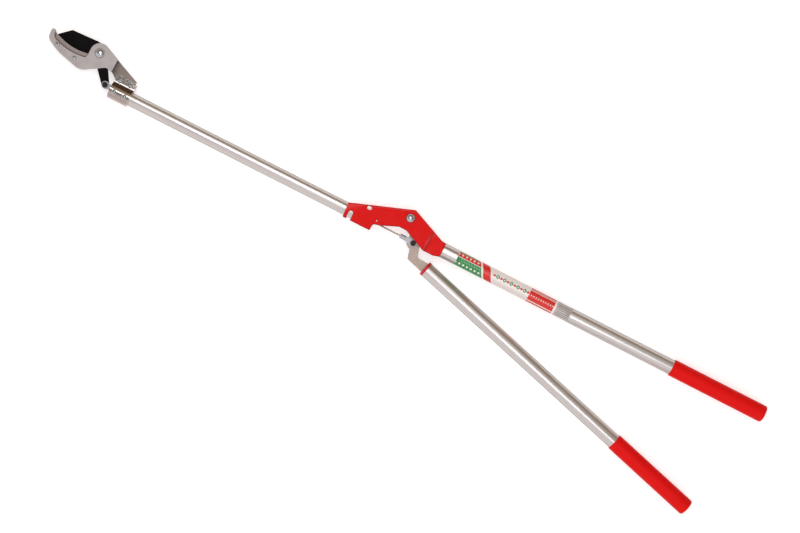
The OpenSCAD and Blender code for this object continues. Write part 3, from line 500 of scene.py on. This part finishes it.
# the four areas, one after the other from the bracket's end
field = band(slanted, -40, 30)
panel = both(band(slanted, 54, 236), band(along, 0, 150))
block = band(along, 150, 202)
tail = band(along, 206, 236)
row = off(around, 42)
ink = linear(PAPER)
for mask, code in (
        (field, GREEN),
        (both(field, stripes(slanted, 5.2, 1.6)), LEAF),
        (both(field, band(around, 30, 40)), RED),
        (both(field, diamond(off_nearest(along, 8), off_nearest(around, 18, 35), 2.6)), CREAM),
        (both(field, band(around, 40, 41)), CREAM),
        (band(slanted, 34, 50), RED),
        (both(panel, band(off(around, LABEL_TOP), 19.5, 21)), RED),
        (both(panel, both(stripes(around, 3, 0.9), band(around, 50, 60))), SAND),
        (both(panel, diamond(off_nearest(along, 14), row, 4.6)), MINT),
        (both(panel, diamond(off_nearest(along, 14, 7), row, 3)), RED),
        (both(panel, diamond(off_nearest(along, 14), row, 1.8)), PAPER),
        (block, RED),
        (both(block, band(around, 31, 32.2)), CREAM),
        (both(block, band(around, 34, 35.2)), CREAM),
        (both(block, band(around, 55, 57.4)), CREAM),
        (both(block, diamond(off_nearest(along, 5), off_nearest(around, 18, 62), 1.2)), CREAM),
        (tail, GREY),
        (both(band(along, 209, 233), both(stripes(around, 4, 1.2), band(around, 32, 58))), SLATE)):
    ink = shade(printed, mask, ink, code)
printed.node_tree.links.new(ink, shader.inputs["Base Color"])
relief(printed, shader, grain(printed, 4 * MM, detail=1), 0.02 * MM)

form = bmesh.new()
wrap = form.loops.layers.uv.new("wrap")
grip_x, grip_y = (grip_low.x + grip_high.x) / 2, (grip_low.y + grip_high.y) / 2
rows = []
for i in range(RUNS + 1):
    x = main_pivot.x + LABEL_START + LABEL_LONG * i / RUNS
    tube_y = grip_y + (grip_x - x) * math.tan(HANDLE_LEAN)
    turns = (-math.pi / 2 + LABEL_SEAM / 2 + (2 * math.pi - LABEL_SEAM) * k / TURNS
             for k in range(TURNS + 1))
    rows.append([form.verts.new((x, tube_y + label_r * math.cos(angle),
                                 tube_z + label_r * math.sin(angle))) for angle in turns])
for i in range(RUNS):
    for k in range(TURNS):
        corners = (i, k), (i, k + 1), (i + 1, k + 1), (i + 1, k)
        face = form.faces.new([rows[a][b] for a, b in corners])
        face.smooth = True
        for loop, (a, b) in zip(face.loops, corners):
            loop[wrap].uv = (a / RUNS, b / TURNS)
bmesh.ops.recalc_face_normals(form, faces=form.faces)
label = placed("handle_label", filled(form, "handle_label", printed))
film = label.modifiers.new("film", "SOLIDIFY")
film.thickness = LABEL_FILM
film.offset = -1                # inwards from the printed face
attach(label, "frame")


# ---- Lever arm ----
# Flat 6 mm bar, blanked and zinc-plated, with a satin face from the press and the barrel.
# It swings on the main bolt and runs down inside the lever handle's plug.
satin, shader = finish("satin_zinc_plated_bar", Metallic=0.85, Roughness=0.45)
tint(satin, shader, grain(satin, 12 * MM), "8F8178", "A39389")
polish(satin, shader, grain(satin, 2.5 * MM), 0.38, 0.52)
# the real barrel's marks are finer: 0.2 mm
relief(satin, shader, grain(satin, 1 * MM), 0.02 * MM)
softened("lever_arm", satin, 0.4 * MM)


# ---- Lever handle ----
# Drawn tube on a moulded plug, held by two screws from behind. The plug's collar
# stands in the tube's mouth and is moulded in red polypropylene with a soft gloss.
LEVER_LEAN = math.radians(15.6)
dress(drawn_aluminium("drawn_anodised_lever", LEVER_LEAN), "lever_tube")
moulded, shader = finish("moulded_red_polypropylene", IOR=1.49, Roughness=0.3,
                         Specular_IOR_Level=0.4)
tint(moulded, shader, grain(moulded, 8 * MM), "B4171A", "C21C1F")
relief(moulded, shader, grain(moulded, 1.2 * MM), 0.015 * MM)
dress(moulded, "lever_plug")


# ---- Grips ----
# Thick vinyl dipped over a former and pushed on the tubes, closed at the end.
# Dipping leaves it smooth and a little waxy, with a faint grain from the former.
vinyl, shader = finish("dipped_red_vinyl", IOR=1.5, Roughness=0.42, Specular_IOR_Level=0.08)
tint(vinyl, shader, grain(vinyl, 18 * MM), "DC100F", "E31715")
polish(vinyl, shader, grain(vinyl, 3 * MM), 0.36, 0.48)
relief(vinyl, shader, grain(vinyl, 1.6 * MM), 0.03 * MM)
dress(vinyl, "fixed_handle_grip", "lever_grip")


# ---- Pull rod and forks ----
# The rod is drawn stainless wire, crimped into two zinc-cast forks. Their pins are
# blackened in an oxide bath, which leaves an oily, slightly brown black.
wire, shader = finish("drawn_stainless_wire", Metallic=1.0, Roughness=0.32)
lines = grain(wire, 0.3 * MM, stretch=(60, 1, 1))       # real die lines are finer: 0.05 mm
tint(wire, shader, lines, "8E8276", "A79C91")
relief(wire, shader, lines, 0.006 * MM)
dress(wire, "pull_rod")

cast, shader = finish("cast_zinc_fork", Metallic=0.5, Roughness=0.55)
tint(cast, shader, grain(cast, 4 * MM), "A3A3A8", "BABABF")
relief(cast, shader, grain(cast, 0.8 * MM), 0.02 * MM)   # a real cast skin is finer: 0.2 mm
for fork in ("lower_fork", "upper_fork"):
    softened(fork, cast, 0.3 * MM)

oxide, shader = finish("black_oxide_steel", Metallic=0.6, Roughness=0.35)
tint(oxide, shader, grain(oxide, 2 * MM), "171311", "241E1A")
relief(oxide, shader, grain(oxide, 0.8 * MM), 0.01 * MM)    # a real bath's etch: 0.05 mm
dress(oxide, "lower_fork_pin", "upper_fork_pin")


# ---- Floor and light ----
# The tool lies on white paper, flat in the middle and curved up into a low wall far out,
# under a wide overhead softbox. Darker, warmer walls stand round it, which the tubes show
# as bands along their sides.
SHEET = ((3, 0), (15, 0), (18, 0.3), (19.5, 1), (20, 2.5))   # radius and height, in metres
SHEET_SIDES = 72
SHEET_GLOW = 0.5                # where it is seen or mirrored, so that it stays white
paper = bpy.data.materials.new("white_paper")
paper.use_nodes = True
paper.node_tree.nodes.clear()
ray = add(paper, "ShaderNodeLightPath").outputs
seen = ray["Is Camera Ray"]
for kind in ("Is Glossy Ray", "Is Transmission Ray"):
    seen = add(paper, "ShaderNodeMath", {0: seen, 1: ray[kind]}, operation="MAXIMUM").outputs[0]
strength = add(paper, "ShaderNodeMath", {0: seen, 1: SHEET_GLOW},
               operation="MULTIPLY").outputs[0]
glow = add(paper, "ShaderNodeEmission", {"Color": linear("FFFFFF"), "Strength": strength})
white = add(paper, "ShaderNodeBsdfDiffuse", {"Color": linear("E4E4E4")})
sheet = add(paper, "ShaderNodeAddShader", {0: white.outputs[0], 1: glow.outputs[0]})
add(paper, "ShaderNodeOutputMaterial", {"Surface": sheet.outputs[0]})
form = bmesh.new()
turns = [2 * math.pi * k / SHEET_SIDES for k in range(SHEET_SIDES)]
rings = [[form.verts.new((reach * math.cos(turn), reach * math.sin(turn), height))
          for turn in turns] for reach, height in SHEET]
form.faces.new(rings[0])
for inner, outer in zip(rings, rings[1:]):
    for k in range(SHEET_SIDES):
        after = (k + 1) % SHEET_SIDES
        form.faces.new((inner[k], outer[k], outer[after], inner[after])).smooth = True
placed("floor", filled(form, "floor", paper))

# the tilt from overhead towards +Y, in degrees, and the colour of the room there
ROOM = ((-90, "E8DEDA"), (-50, "F6F0F0"), (-20, "C8C2C2"), (-8, "8C8888"), (8, "8C8888"),
        (30, "B0AAA8"), (45, "BCA68C"), (62, "866B4C"), (90, "6E5238"))
ROOM_STRENGTH = 1.25
world = bpy.data.worlds.new("studio")
bpy.context.scene.world = world
world.use_nodes = True
world.node_tree.nodes.clear()
way = add(world, "ShaderNodeSeparateXYZ",
          {"Vector": add(world, "ShaderNodeTexCoord").outputs["Generated"]}).outputs
tilt = add(world, "ShaderNodeMath", {0: way["Y"], 1: way["Z"]}, operation="ARCTAN2").outputs[0]
tilt = add(world, "ShaderNodeMapRange", {0: tilt, 1: -math.pi / 2, 2: math.pi / 2}).outputs[0]
walls = add(world, "ShaderNodeValToRGB", {"Fac": tilt})
while len(walls.color_ramp.elements) < len(ROOM):
    walls.color_ramp.elements.new(0.5)
for k, (angle, code) in enumerate(ROOM):
    walls.color_ramp.elements[k].position = (angle + 90) / 180
    walls.color_ramp.elements[k].color = linear(code)
room = add(world, "ShaderNodeBackground",
           {"Color": walls.outputs["Color"], "Strength": ROOM_STRENGTH})
add(world, "ShaderNodeOutputWorld", {"Surface": room.outputs[0]})

# two softboxes on one slanting line, either side of the camera, as on a copy stand:
# the place and size of each in metres, and its watts
SOFTBOXES = (("upper_softbox", -0.42, 0.68, 0.9, 1.3, 14.5),
             ("lower_softbox", 0.36, -0.3, 0.75, 0.65, 7))
SOFTBOX_HEIGHT = 2.0
SOFTBOX_TURN = math.atan2(-1.236, 1)
SOFTBOX_COLOUR = (0.97, 0.98, 1.0)      # a little cooler than the walls
for name, x, y, long, wide, watts in SOFTBOXES:
    lamp = placed(name, bpy.data.lights.new(name, "AREA"))
    lamp.data.shape = "RECTANGLE"
    lamp.data.size, lamp.data.size_y = long, wide
    lamp.data.energy = watts
    lamp.data.color = SOFTBOX_COLOUR
    lamp.location = (x, y, SOFTBOX_HEIGHT)
    lamp.rotation_euler = (0, 0, SOFTBOX_TURN)
    lamp.visible_camera = False

bpy.context.scene.view_settings.view_transform = "Standard"
